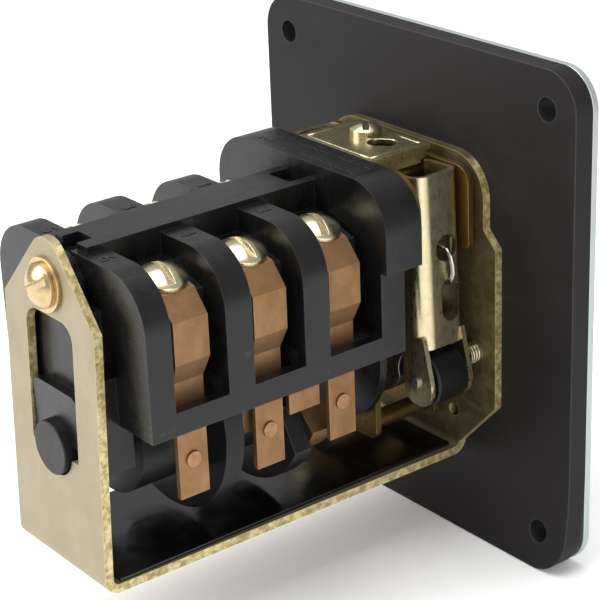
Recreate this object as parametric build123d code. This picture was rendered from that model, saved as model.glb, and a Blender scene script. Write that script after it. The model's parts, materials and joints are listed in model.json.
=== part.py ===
"""Panel-mounted rotary switch with knife-blade contacts, one STEP file for each separate piece.

Millimetres. +Z is up, +Y points away from the panel, +X is to the left seen from behind.
The origin is the middle of the four panel holes, on the rear face of the backing plate.
"""

from build123d import *
import math
import os

# Backing plate and nameplate
PLATE_HALF_X = 50.4
PLATE_HALF_Z = 56.8
PLATE_T = 4.8
PLATE_CORNER_R = 8.5
PLATE_BOW_FROM_Z = -33.0
PLATE_BOW = 2.6
NAMEPLATE_T = 1.7
HOLE_X = 42.2
HOLE_Z = 48.3
HOLE_R = 2.6

# Bent frame
SHEET_T = 1.9
FRAME_REAR_Y = 96.6
STRIP_FRONT_HALF_X = 17.8
STRIP_REAR_HALF_X = 16.5
STRIP_BOTTOM_Z = -38.0
STRIP_TOP_Z = STRIP_BOTTOM_Z + SHEET_T
BEND_OUTER_R = 3.4
BEND_INNER_R = 1.5
UPRIGHT_INNER_Y = FRAME_REAR_Y - SHEET_T
UPRIGHT_LEAN = 2.2
UPRIGHT_SHOULDER_Z = 18.6
UPRIGHT_APEX_Z = 37.0
WINDOW_HALF_X = 8.6
WINDOW_Z = (-11.6, 18.0)
REAR_SCREW_Z = 24.6
REAR_SCREW_R = 2.2
LINER_T = 0.8
FRONT_SCREW_X = 23.0
FRONT_SCREW_Z = -11.0
FRONT_SCREW_R = 2.2
FRONT_SCREW_END_Y = 4.8
BUSHING_R = 7.5

# Rotor axis and radii
AXIS_Z = -10.4
SHAFT_R = 4.0
DISC_R = 22.2
HUB_R = 14.0
BLADE_TIP_R = 19.5
CHAMBER_R = 22.9
JOURNAL_R = 5.8
JOURNAL_REAR_Y = 96.95
DISC_T = 4.6
DISC_SHIFT = -0.8
SHAFT_FRONT_Y = -24.0
SHAFT_REAR_Y = 94.5
RUNNING_GAP = 0.05

# Stages
STAGES = 3
STAGE_PITCH = 19.15
STAGE_1_Y = 77.15
WINDOW_HALF_Y = 6.4
STRIP_W = 7.0
STRIP_T = 1.2
STAGE_Y = [STAGE_1_Y - STAGE_PITCH * stage for stage in range(STAGES)]
WALL_Y = [(rear_y + front_y) / 2 + DISC_SHIFT for rear_y, front_y in zip(STAGE_Y, STAGE_Y[1:])]
HUB_REACH = ((STAGE_PITCH - DISC_T) / 2 - DISC_SHIFT, (STAGE_PITCH - DISC_T) / 2 + DISC_SHIFT)

# Contact housing
HOUSING_HALF_X = 26.7
HOUSING_FRONT_Y = 21.9
HOUSING_REAR_Y = 89.4
BARRIER_HALF_X = 28.6
BARRIER_REAR_Y = 31.5
BARRIER_TOP_Z = 35.4
BARRIER_STEP_Z = 16.8
BARRIER_LOWER_FRONT_Y = 25.2
END_WALL_R = 16.5
RAIL_BOTTOM_Z = -2.4
RAIL_TOP_Z = 2.5
RAIL_T = 2.6
FIN_TOP_Z = 30.8
FIN_CORNER_R = 11.0
RIDGE_HALF_X = 5.8
RIDGE_TOP_Z = 32.1
PAD_INNER_X = 9.0
END_WALL_T = 1.8

# Terminals: the strip's outer surface, from the pad down to the finger's end
TERMINAL_X = 15.3
STRIP_OUTLINE = [(10.4, 26.6), (20.0, 24.2), (24.0, 19.6), (24.0, 10.8), (22.0, 6.2), (22.0, -19.4)]
PAD_SLOPE = math.degrees(math.atan2(2.4, 9.6))
TERMINAL_HEAD_R = 4.95
TERMINAL_RIM_H = 0.9
TERMINAL_DOME_H = 1.8
SLOT_ANGLES = (-10, -4, -14)
TERMINAL_SHANK_R = 2.0
BUTTON_Z = -11.2
BUTTON_R = 2.4
BUTTON_T = 1.0
SEAT_GAP = 0.02

# Detent mechanism
FRONT_PLATE_Y = (3.4, 4.7)
REAR_PLATE_Y = (HOUSING_FRONT_Y - 1.4, HOUSING_FRONT_Y)
PIVOT_X = 17.0
PIVOT_Z = 27.6
ROLLER_X = 20.4
ROLLER_Z = -14.4
ROLLER_R = 6.2
ROLLER_Y = (7.0, 15.5)
ARM_LEAN = 2.5
ARM_Y = (5.2, 17.2)
ARM_OUTER_X = 21.9
ARM_INNER_X = 11.9
ARM_T = 1.1
ARM_TOP_Z = 32.0
ARM_WEB_BOTTOM_Z = -6.9
ARM_SWING = 2.4
STAR_R = 14.1
STAR_GAP = 0.15
STAR_Y = (8.4, 14.9)
DETENT_STEP = 45.0
SPRING_Y = 9.6
SPRING_Z = 15.2
SPRING_R = 2.0
PIN_R = 1.6
STOP_RADIUS = 10.6
STOP_Y = (15.3, 19.0)
STOP_HALF_ANGLE = 11.5
STOP_ANGLE = math.radians(90 - DETENT_STEP - STOP_HALF_ANGLE - 6.9)
STOP_POINT = (STOP_RADIUS * math.cos(STOP_ANGLE), AXIS_Z + STOP_RADIUS * math.sin(STOP_ANGLE))
POSTS = [(7.0, 28.0), (9.0, -27.0)]
BRIDGE_TOP_Z = 35.1
BRIDGE_HALF_X = 12.2
BRIDGE_T = 1.2
BRIDGE_SCREW = (2.4, 10.5)

# Handle side
HANDLE_R = 15.0
HANDLE_LENGTH = 20.0
HANDLE_FRONT_Y = -33.5
HANDLE_SCREW_Y = -11.0

LEFT, RIGHT = 1, -1


def block(x, y, z):
    """Box from three (low, high) pairs."""
    size = [high - low for low, high in (x, y, z)]
    centre = [(high + low) / 2 for low, high in (x, y, z)]
    return Pos(*centre) * Box(*size)


def rod_y(radius, y, x=0.0, z=AXIS_Z):
    """Cylinder along Y between two y values."""
    return Pos(x, (y[0] + y[1]) / 2, z) * Rot(90, 0, 0) * Cylinder(radius, y[1] - y[0])


def rod_x(radius, x, y, z):
    """Cylinder along X between two x values."""
    return Pos((x[0] + x[1]) / 2, y, z) * Rot(0, 90, 0) * Cylinder(radius, x[1] - x[0])


def outline(points, radii=0.0):
    """Closed face with rounded corners in a sketch plane."""
    if isinstance(radii, (int, float)):
        radii = [radii] * len(points)
    return make_face(FilletPolyline(*points, radius=radii, close=True))


def slab_y(face, y):
    """Face drawn in X and Z, made solid between two y values."""
    return extrude(Plane.XZ.offset(-y[1]) * face, y[1] - y[0])


def slab_x(face, x):
    """Face drawn in Y and Z, made solid between two x values."""
    return extrude(Plane.YZ.offset(x[0]) * face, x[1] - x[0])


def mirrored(points):
    """Right half outline, bottom to top, completed by its mirror image."""
    return points + [(-x, z) for x, z in reversed(points)]


def thicken(points, thickness):
    """Closed outline of a bent sheet: the given outer line and its inner offset."""
    inner = []
    for index, (x, z) in enumerate(points):
        before = points[max(index - 1, 0)]
        after = points[min(index + 1, len(points) - 1)]
        into = (x - before[0], z - before[1]) if index else (after[0] - x, after[1] - z)
        out = (after[0] - x, after[1] - z) if index < len(points) - 1 else into
        a = math.atan2(into[1], into[0])
        b = math.atan2(out[1], out[0])
        half = (b - a) / 2
        normal = (a + b) / 2 - math.pi / 2
        reach = thickness / math.cos(half)
        inner.append((x + reach * math.cos(normal), z + reach * math.sin(normal)))
    return list(points) + inner[::-1]


def turned_y(shape, angle, x=0.0, z=AXIS_Z):
    """Turn a shape about a line along Y by the right-hand rule."""
    return shape.rotate(Axis((x, 0, z), (0, 1, 0)), angle)


def leaning(shape):
    """Tilt a shape with the rear upright, about the strip's rear lower edge."""
    return shape.rotate(Axis((0, FRAME_REAR_Y, STRIP_BOTTOM_Z), (1, 0, 0)), UPRIGHT_LEAN)


def ball_head(radius, height):
    """Slotted round head, its seat at the origin and its top along +Z."""
    sphere_r = (radius**2 + height**2) / (2 * height)
    head = Pos(0, 0, height - sphere_r) * Sphere(sphere_r)
    head &= Pos(0, 0, height / 2) * Cylinder(radius, height)
    slot = Pos(0, 0, height) * Box(2.2 * radius, 1.5, 1.4 * height)
    return head - slot


def binding_head(radius, rim, dome):
    """Slotted head with an upright rim under its dome."""
    return Pos(0, 0, rim) * ball_head(radius, dome) + Pos(0, 0, rim / 2) * Cylinder(radius, rim)


def plate_outline():
    """Rounded plate with the four panel holes, the two frame holes and the bush hole."""
    face = RectangleRounded(2 * PLATE_HALF_X, 2 * PLATE_HALF_Z, PLATE_CORNER_R)
    for x in (-HOLE_X, HOLE_X):
        for z in (-HOLE_Z, HOLE_Z):
            face -= Pos(x, z) * Circle(HOLE_R)
    for side in (LEFT, RIGHT):
        face -= Pos(side * FRONT_SCREW_X, FRONT_SCREW_Z) * Circle(FRONT_SCREW_R + 0.3)
    return face - Pos(0, AXIS_Z) * Circle(BUSHING_R + 0.1)


# ---------------------------------------------------------------- panel side

def backing_plate():
    """Flat black plate whose lower edge bows away from the panel."""
    low, bow = -PLATE_HALF_Z, PLATE_BOW_FROM_Z
    run = bow - low
    radius = (run**2 + PLATE_BOW**2) / (2 * PLATE_BOW)
    half = math.asin(run / radius) / 2
    mid_z = bow - radius * math.sin(half)
    mid_y = radius * (1 - math.cos(half))
    edges = [
        Line((0, PLATE_HALF_Z), (0, bow)),
        ThreePointArc((0, bow), (mid_y, mid_z), (PLATE_BOW, low)),
        Line((PLATE_BOW, low), (PLATE_BOW - PLATE_T, low)),
        ThreePointArc((PLATE_BOW - PLATE_T, low), (mid_y - PLATE_T, mid_z), (-PLATE_T, bow)),
        Line((-PLATE_T, bow), (-PLATE_T, PLATE_HALF_Z)),
        Line((-PLATE_T, PLATE_HALF_Z), (0, PLATE_HALF_Z)),
    ]
    sheet = slab_x(make_face(edges), (-PLATE_HALF_X, PLATE_HALF_X))
    # Flat seat for the frame, where the bow has already started.
    sheet -= block((-20, 20), (0, 3), (STRIP_BOTTOM_Z - 0.4, bow + 1))
    return sheet & slab_y(plate_outline(), (-PLATE_T - 1, PLATE_BOW + 1))


def nameplate():
    return slab_y(plate_outline(), (-PLATE_T - NAMEPLATE_T, -PLATE_T))


def front_screws():
    """Two countersunk-style screws through both plates and the frame's front flange."""
    head_y = -PLATE_T - NAMEPLATE_T
    screws = Part()
    for side in (LEFT, RIGHT):
        x = side * FRONT_SCREW_X
        head = rod_y(4.2, (head_y - 1.6, head_y), x, FRONT_SCREW_Z)
        head -= block((x - 5, x + 5), (head_y - 1.6, head_y - 0.7), (FRONT_SCREW_Z - 0.5, FRONT_SCREW_Z + 0.5))
        screws += head + rod_y(FRONT_SCREW_R, (head_y, FRONT_SCREW_END_Y), x, FRONT_SCREW_Z)
    return screws


def front_bushing():
    """Flanged bush that the handle shaft turns in."""
    front = -PLATE_T - NAMEPLATE_T
    body = rod_y(BUSHING_R, (front, SHEET_T)) + rod_y(BUSHING_R + 3, (front - 1.5, front))
    return body - rod_y(SHAFT_R + RUNNING_GAP, (front - 2, SHEET_T + 1))


# -------------------------------------------------------------------- frame

def main_frame():
    """One bent strip: shaped front flange, tapered bottom and a leaning, pointed upright with a window."""
    wall_top = STRIP_TOP_Z + 2.0
    slope = math.tan(math.radians(UPRIGHT_LEAN))
    rise = 80.0
    inner_y = FRAME_REAR_Y - SHEET_T / math.cos(math.radians(UPRIGHT_LEAN))
    section = outline(
        [(0, wall_top), (0, STRIP_BOTTOM_Z), (FRAME_REAR_Y, STRIP_BOTTOM_Z),
         (FRAME_REAR_Y - rise * slope, STRIP_BOTTOM_Z + rise), (inner_y - rise * slope, STRIP_BOTTOM_Z + rise),
         (inner_y - SHEET_T * slope, STRIP_TOP_Z), (SHEET_T, STRIP_TOP_Z), (SHEET_T, wall_top)],
        [0, BEND_OUTER_R, BEND_OUTER_R, 0, 0, BEND_INNER_R, BEND_INNER_R, 0],
    )
    plan = make_face(Polyline(
        (-STRIP_FRONT_HALF_X, -1), (STRIP_FRONT_HALF_X, -1), (STRIP_REAR_HALF_X, FRAME_REAR_Y + 1),
        (-STRIP_REAR_HALF_X, FRAME_REAR_Y + 1), close=True))
    pitch = (UPRIGHT_APEX_Z - UPRIGHT_SHOULDER_Z) / STRIP_REAR_HALF_X
    wide = STRIP_FRONT_HALF_X + 1
    point = outline([(wide, STRIP_BOTTOM_Z - 1), (wide, UPRIGHT_APEX_Z - wide * pitch), (0, UPRIGHT_APEX_Z),
                     (-wide, UPRIGHT_APEX_Z - wide * pitch), (-wide, STRIP_BOTTOM_Z - 1)], [0, 0, 5.8, 0, 0])
    frame = slab_x(section, (-wide, wide)) & extrude(Plane.XY.offset(STRIP_BOTTOM_Z - 1) * plan, 100)
    frame &= slab_y(point, (-2, FRAME_REAR_Y + 2))
    window = outline([(WINDOW_HALF_X, WINDOW_Z[0]), (WINDOW_HALF_X, WINDOW_Z[1]),
                      (-WINDOW_HALF_X, WINDOW_Z[1]), (-WINDOW_HALF_X, WINDOW_Z[0])], [0.6, 4.0, 4.0, 0.6])
    frame -= slab_y(window + Pos(0, AXIS_Z) * Circle(JOURNAL_R + 0.4), (80, FRAME_REAR_Y + 2))
    frame -= leaning(rod_y(REAR_SCREW_R + 0.1, (80, FRAME_REAR_Y + 2), z=REAR_SCREW_Z))
    flange = outline(
        mirrored([(STRIP_FRONT_HALF_X, wall_top - 1.0), (29.3, -22.9), (29.3, 14.4), (25.6, 18.2), (25.6, 34.0)]),
        [0, 1.0, 1.0, 1.0, 9.5, 9.5, 1.0, 1.0, 1.0, 0],
    )
    for side in (LEFT, RIGHT):
        flange -= Pos(side * 15.9, -27.7) * Circle(1.5)
        flange -= Pos(side * FRONT_SCREW_X, FRONT_SCREW_Z) * Circle(FRONT_SCREW_R + 0.05)
    flange -= Pos(0, AXIS_Z) * Circle(BUSHING_R + 0.1)
    return frame + slab_y(flange, (0, SHEET_T))


def frame_liner():
    """Black insulating sheet that lies in the bottom strip."""
    half_x = STRIP_REAR_HALF_X - 0.4
    return block((-half_x, half_x), (3.6, UPRIGHT_INNER_Y - 2.0), (STRIP_TOP_Z, STRIP_TOP_Z + LINER_T))


def rear_washer():
    """Washer on the upright's rear face."""
    ring = rod_y(5.7, (FRAME_REAR_Y, FRAME_REAR_Y + 0.9), z=REAR_SCREW_Z)
    return leaning(ring - rod_y(REAR_SCREW_R + 0.2, (FRAME_REAR_Y - 1, FRAME_REAR_Y + 2), z=REAR_SCREW_Z))


def rear_screw():
    """Slotted screw through the rear upright into the housing's insert."""
    seat = FRAME_REAR_Y + 0.9
    head = Pos(0, seat, REAR_SCREW_Z) * Rot(-90, 0, 0) * Rot(0, 0, 30) * binding_head(4.7, 0.8, 2.2)
    return leaning(head + rod_y(REAR_SCREW_R, (seat - 11.0, seat), z=REAR_SCREW_Z))


def rear_insert():
    """Brass thread insert in the housing's rear boss."""
    ring = rod_y(3.4, (UPRIGHT_INNER_Y - 8.6, UPRIGHT_INNER_Y), z=REAR_SCREW_Z)
    return leaning(ring - rod_y(REAR_SCREW_R, (UPRIGHT_INNER_Y - 9, FRAME_REAR_Y), z=REAR_SCREW_Z))


# ------------------------------------------------------------------ housing

def fin_profile(half_x, top_z, bottom_z, corner_r):
    points = mirrored([(half_x, bottom_z), (half_x, top_z)])
    return outline(points, [0, corner_r, corner_r, 0])


def terminal_pad(side, centre_y):
    """Sloped block under one terminal screw."""
    drop = STRIP_T / math.cos(math.radians(PAD_SLOPE)) + SEAT_GAP
    points = [(5.0, 8.0), (17.6, 8.0), (19.4, 10.0), (19.4, 24.35 - drop), (9.8, 26.75 - drop),
              (PAD_INNER_X, 27.2 - drop), (5.0, 27.2 - drop)]
    face = make_face(Polyline(*[(side * x, z) for x, z in points], close=True))
    return slab_y(face, (centre_y - WINDOW_HALF_Y - 0.1, centre_y + WINDOW_HALF_Y + 0.1))


def contact_housing():
    """Moulded body: ridge, fins between the stages, side rails, end wall and front barrier."""
    body = block((-RIDGE_HALF_X, RIDGE_HALF_X), (HOUSING_FRONT_Y, HOUSING_REAR_Y - 1.5), (8.0, RIDGE_TOP_Z))
    fin = fin_profile(HOUSING_HALF_X, FIN_TOP_Z, RAIL_BOTTOM_Z, FIN_CORNER_R)
    for rear_y, front_y in zip(STAGE_Y, STAGE_Y[1:]):
        body += slab_y(fin, (front_y + WINDOW_HALF_Y, rear_y - WINDOW_HALF_Y))
    body += slab_y(fin, (STAGE_Y[0] + WINDOW_HALF_Y, HOUSING_REAR_Y))
    body += slab_y(fin, (BARRIER_LOWER_FRONT_Y, BARRIER_REAR_Y))
    barrier = fin_profile(BARRIER_HALF_X, BARRIER_TOP_Z, BARRIER_STEP_Z, 10.5)
    body += slab_y(barrier, (HOUSING_FRONT_Y, BARRIER_REAR_Y))
    for side in (LEFT, RIGHT):
        x = sorted((side * (HOUSING_HALF_X - RAIL_T), side * HOUSING_HALF_X))
        body += block(x, (BARRIER_LOWER_FRONT_Y, HOUSING_REAR_Y), (RAIL_BOTTOM_Z, RAIL_TOP_Z))
        for centre_y in STAGE_Y:
            body += terminal_pad(side, centre_y)
    body -= rod_y(CHAMBER_R, (HOUSING_FRONT_Y + END_WALL_T, HOUSING_REAR_Y - END_WALL_T))
    body -= block((-HOUSING_HALF_X + RAIL_T, HOUSING_HALF_X - RAIL_T),
                  (HOUSING_FRONT_Y + END_WALL_T, HOUSING_REAR_Y - END_WALL_T), (-4.0, 5.0))
    # The front end wall reaches down round the shaft, and a block behind the rear one bears it.
    end = Pos(0, AXIS_Z) * Circle(END_WALL_R) + Pos(0, (BARRIER_STEP_Z + AXIS_Z) / 2) * Rectangle(
        2 * END_WALL_R, BARRIER_STEP_Z - AXIS_Z + 2)
    body += slab_y(end, (HOUSING_FRONT_Y, HOUSING_FRONT_Y + END_WALL_T))
    rear = (HOUSING_REAR_Y - 3.0, FRAME_REAR_Y)
    body += block((-15.0, 15.0), rear, (-12.5, 8.0)) + block((-8.0, 8.0), rear, (-17.0, 8.0))
    body += block((-11.5, 11.5), rear, (7.0, 21.0))
    body += leaning(rod_y(6.0, (UPRIGHT_INNER_Y - 5.5, UPRIGHT_INNER_Y), z=REAR_SCREW_Z))
    body -= leaning(block((-30, 30), (UPRIGHT_INNER_Y, UPRIGHT_INNER_Y + 20), (-40, 50)))
    body -= leaning(block((-10, 10), (UPRIGHT_INNER_Y - 0.8, UPRIGHT_INNER_Y + 1), (2.0, REAR_SCREW_Z - 6.0)))
    # Boss that fills the lower part of the upright's window.
    boss = outline([(8.4, -9.0), (8.4, 2.4), (-8.4, 2.4), (-8.4, -9.0)], [0, 2.6, 2.6, 0])
    body += slab_y(boss, (HOUSING_REAR_Y - 0.1, JOURNAL_REAR_Y - 2.2))
    body -= rod_y(JOURNAL_R + RUNNING_GAP, (HOUSING_REAR_Y, FRAME_REAR_Y))
    body -= rod_y(SHAFT_R + 0.3, (HOUSING_FRONT_Y - 1, FRAME_REAR_Y))
    body -= leaning(rod_y(3.4, (UPRIGHT_INNER_Y - 8.6, FRAME_REAR_Y), z=REAR_SCREW_Z))
    # Notch at the ridge's rear end and the shallow pocket beside the barrier.
    body -= block((-2.2, 3.0), (HOUSING_REAR_Y - 5.2, HOUSING_REAR_Y), (FIN_TOP_Z - 1.5, RIDGE_TOP_Z + 1))
    body -= block((-3.6, 3.6), (BARRIER_REAR_Y, BARRIER_REAR_Y + 5.0), (RIDGE_TOP_Z - 2.4, RIDGE_TOP_Z + 1))
    for side in (LEFT, RIGHT):
        body -= rod_y(1.9, (HOUSING_FRONT_Y - 1, HOUSING_FRONT_Y + 8.0), side * 9.0, 21.0)
        for centre_y in STAGE_Y:
            body -= screw_bore(side, centre_y, 2.75, 6.9)
            x = sorted((side * 20.7, side * 22.2))
            body -= block(x, (centre_y - STRIP_W / 2 - 0.1, centre_y + STRIP_W / 2 + 0.1), (-6.0, 9.0))
    return body


# ---------------------------------------------------------------- terminals

def terminal_place(side, centre_y):
    """Frame on the strip's top surface under a terminal screw, with its Z axis along the screw."""
    top_z = 26.6 - (TERMINAL_X - 10.4) * math.tan(math.radians(PAD_SLOPE))
    return Pos(side * TERMINAL_X, centre_y, top_z) * Rot(0, side * PAD_SLOPE, 0)


def screw_bore(side, centre_y, radius, depth):
    place = terminal_place(side, centre_y)
    return place * Pos(0, 0, -STRIP_T - depth / 2) * Cylinder(radius, depth)


def stationary_contact(side, centre_y):
    """Bent copper strip: screw pad, shoulder, finger."""
    points = [(side * x, z) for x, z in thicken(STRIP_OUTLINE, STRIP_T)]
    narrow, wide = STRIP_W / 2, STRIP_W / 2 + 0.6
    strip = slab_y(make_face(Polyline(*points, close=True)), (centre_y - wide, centre_y + wide))
    # Below the shoulder the strip tapers to the narrower finger.
    waste = [(wide, 10.8), (narrow, 6.2), (narrow, -25.0), (wide + 1, -25.0), (wide + 1, 10.8)]
    for hand in (LEFT, RIGHT):
        face = make_face(Polyline(*[(centre_y + hand * y, z) for y, z in waste], close=True))
        strip -= slab_x(face, sorted((side * 19.0, side * 26.0)))
    strip -= terminal_place(side, centre_y) * Cylinder(TERMINAL_SHANK_R + 0.25, 8)
    rivet_x = sorted((side * 18.0, side * 25.0))
    return strip - rod_x(1.25, rivet_x, centre_y, BUTTON_Z)


def contact_buttons():
    """Silver-faced contact button on the inside of each finger."""
    buttons = Part()
    for side in (LEFT, RIGHT):
        for centre_y in STAGE_Y:
            x = sorted((side * (22.0 - STRIP_T - BUTTON_T), side * (22.0 - STRIP_T)))
            button = rod_x(BUTTON_R, x, centre_y, BUTTON_Z)
            button -= rod_x(1.25, (x[0] - 1, x[1] + 1), centre_y, BUTTON_Z)
            buttons += button
    return buttons


def contact_rivets():
    """Flat-headed rivet through each finger and its button."""
    rivets = Part()
    for side in (LEFT, RIGHT):
        for centre_y in STAGE_Y:
            shank = sorted((side * (22.0 - STRIP_T - BUTTON_T + 0.1), side * 22.0))
            head = sorted((side * 22.0, side * 22.5))
            rivets += rod_x(1.25, shank, centre_y, BUTTON_Z) + rod_x(1.75, head, centre_y, BUTTON_Z)
    return rivets


def terminal_screws():
    """Six slotted binding-head screws."""
    screws = Part()
    for side in (LEFT, RIGHT):
        for index, centre_y in enumerate(STAGE_Y):
            head = Rot(0, 0, SLOT_ANGLES[index]) * binding_head(TERMINAL_HEAD_R, TERMINAL_RIM_H, TERMINAL_DOME_H)
            shank = Pos(0, 0, -3.6) * Cylinder(TERMINAL_SHANK_R, 7.2)
            screws += terminal_place(side, centre_y) * (head + shank)
    return screws


def terminal_inserts():
    """Brass inserts that take the terminal screws."""
    inserts = Part()
    for side in (LEFT, RIGHT):
        for centre_y in STAGE_Y:
            ring = Pos(0, 0, -STRIP_T - 3.3) * (Cylinder(2.75, 6.4) - Cylinder(TERMINAL_SHANK_R, 8))
            inserts += terminal_place(side, centre_y) * ring
    return inserts


# -------------------------------------------------------------------- rotor

def shaft():
    """Steel shaft from the handle to the rear journal."""
    return rod_y(SHAFT_R, (SHAFT_FRONT_Y, SHAFT_REAR_Y))


def rotor_disc(wall_y):
    """Moulded barrier disc that turns in the slot under a fin."""
    disc = rod_y(DISC_R, (wall_y - DISC_T / 2, wall_y + DISC_T / 2))
    return disc - rod_y(SHAFT_R, (wall_y - 3, wall_y + 3))


def rotor_disc_2(wall_y):
    """Second barrier disc, with the seat and flat that carry the axial bridge."""
    disc = rotor_disc(wall_y)
    seat = block((-DISC_R, -19.3), (wall_y - 3, wall_y + 3), (AXIS_Z - 1.0, AXIS_Z + 6.0))
    wedge = make_face(Polyline((-26, AXIS_Z - 0.6), (-14.2, AXIS_Z - 0.6), (-14.6, AXIS_Z - 2.2),
                               (-21.5, AXIS_Z - 14.1), (-30, AXIS_Z - 10), close=True))
    return disc - seat - slab_y(wedge, (wall_y - 3, wall_y + 3))


def axial_bridge(wall_y):
    """Copper strap on the second disc."""
    return block((-20.5, -19.3), (wall_y - 4.0, wall_y + 4.0), (AXIS_Z - 0.4, AXIS_Z + 4.2))


def rotor_hub(centre_y, blade_angle):
    """Moulded hub of one stage, with the slot that its blade sits in."""
    hub = rod_y(HUB_R, (centre_y - HUB_REACH[0], centre_y + HUB_REACH[1]))
    hub -= rod_y(SHAFT_R, (centre_y - 10, centre_y + 10))
    return hub - moving_blade(centre_y, blade_angle)


def moving_blade(centre_y, blade_angle):
    """Copper blade across the hub, above the shaft, with a broad tip at each end."""
    y = (centre_y - 1.6, centre_y + 4.6)
    tip = BLADE_TIP_R - 0.35
    blade = block((-tip, tip), y, (AXIS_Z + 4.4, AXIS_Z + 6.2))
    for side in (LEFT, RIGHT):
        blade += block(sorted((side * 12.0, side * tip)), y, (AXIS_Z - 1.5, AXIS_Z + 6.2))
    blade &= rod_y(BLADE_TIP_R, (y[0] - 1, y[1] + 1))
    return turned_y(blade, blade_angle)


def rear_journal():
    """Moulded disc on the shaft's rear end, seen in the upright's notch."""
    journal = rod_y(JOURNAL_R, (HOUSING_REAR_Y + 0.4, JOURNAL_REAR_Y))
    return journal - rod_y(SHAFT_R, (HOUSING_REAR_Y, SHAFT_REAR_Y))


def spacer_sleeve():
    """Sleeve on the shaft between the star wheel and the first barrier wall."""
    sleeve = rod_y(6.2, (HOUSING_FRONT_Y + END_WALL_T + 0.2, STAGE_Y[2] - HUB_REACH[0]))
    return sleeve - rod_y(SHAFT_R, (HOUSING_FRONT_Y, STAGE_Y[2]))


def retaining_clip():
    """Open ring on the shaft between the last hub and the rear end wall."""
    start = STAGE_Y[0] + HUB_REACH[1]
    ring = rod_y(6.6, (start, start + 1.0)) - rod_y(SHAFT_R, (start - 1, start + 2))
    return ring - block((-1.5, 1.5), (start - 1, start + 2), (AXIS_Z - 8, AXIS_Z - 3))


# --------------------------------------------------------- detent mechanism

def mechanism_plate(half_x, z, corner_r, y):
    """Plate that is wide above the first z value and narrow round the shaft below it."""
    face = outline(mirrored([(12.5, -30.0), (12.5, z[0]), (half_x, z[0]), (half_x, z[1])]),
                   [2.0, 2.0, 1.5, corner_r, corner_r, 1.5, 2.0, 2.0])
    face -= Pos(0, AXIS_Z) * Circle(BUSHING_R + 0.3)
    plate = slab_y(face, y)
    for side in (LEFT, RIGHT):
        plate -= rod_y(PIN_R, (y[0] - 1, y[1] + 1), side * PIVOT_X, PIVOT_Z)
        for post_x, post_z in POSTS:
            plate -= rod_y(1.3, (y[0] - 1, y[1] + 1), side * post_x, post_z)
    return plate


def mechanism_front_plate():
    """Plate behind the flange that holds the front ends of the pins and posts."""
    return mechanism_plate(24.0, (14.0, 32.4), 4.0, FRONT_PLATE_Y)


def mechanism_rear_plate():
    """Plate against the housing's barrier: bearing hole, stop pins and housing screws."""
    plate = mechanism_plate(26.9, (16.6, 34.8), 8.0, REAR_PLATE_Y)
    plate -= block((-12.6, 12.6), (18, 24), (BRIDGE_TOP_Z - BRIDGE_T, 40))
    for side in (LEFT, RIGHT):
        plate -= rod_y(1.55, (18, 24), side * 9.0, 21.0)
        plate -= rod_y(1.2, (18, 24), side * STOP_POINT[0], STOP_POINT[1])
    return plate


def mechanism_posts():
    """Four spacer pillars riveted between the flange and the two mechanism plates."""
    posts = Part()
    for side in (LEFT, RIGHT):
        for x, z in POSTS:
            post = rod_y(1.3, (FRONT_PLATE_Y[0], REAR_PLATE_Y[1]), side * x, z)
            post += rod_y(2.1, (FRONT_PLATE_Y[1], REAR_PLATE_Y[0]), side * x, z)
            post += rod_y(2.1, (SHEET_T, FRONT_PLATE_Y[0]), side * x, z)
            posts += post
    return posts


def seated_roller(side):
    """Centre of a roller when it rests in a valley of the star wheel."""
    angle = math.radians(ARM_SWING)
    dx, dz = ROLLER_X - PIVOT_X, ROLLER_Z - PIVOT_Z
    x = PIVOT_X + dx * math.cos(angle) + dz * math.sin(angle)
    z = PIVOT_Z - dx * math.sin(angle) + dz * math.cos(angle)
    return side * x, z


def star_wheel():
    """Detent wheel with three valleys for each roller, one detent step apart."""
    wheel = rod_y(STAR_R, STAR_Y)
    for side in (LEFT, RIGHT):
        x, z = seated_roller(side)
        for step in (-1, 0, 1):
            valley = rod_y(ROLLER_R + STAR_GAP, (STAR_Y[0] - 1, STAR_Y[1] + 1), x, z)
            wheel -= turned_y(valley, step * DETENT_STEP)
    return wheel - rod_y(SHAFT_R, (STAR_Y[0] - 1, STAR_Y[1] + 1))


def stop_lug():
    """Collar on the shaft with the lug that meets the stop pins."""
    reach = STOP_RADIUS + 2.0
    spread = reach * math.tan(math.radians(STOP_HALF_ANGLE))
    lug = make_face(Polyline((0, AXIS_Z), (spread, AXIS_Z + reach), (-spread, AXIS_Z + reach), close=True))
    collar = rod_y(6.4, STOP_Y) + slab_y(lug, STOP_Y)
    return collar - rod_y(SHAFT_R, (STOP_Y[0] - 1, STOP_Y[1] + 1))


def stop_pins():
    """Two pins in the rear plate that end the rotor's travel."""
    pins = Part()
    for side in (LEFT, RIGHT):
        pins += rod_y(1.2, (STOP_Y[0] + 0.3, REAR_PLATE_Y[1]), side * STOP_POINT[0], STOP_POINT[1])
    return pins


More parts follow.
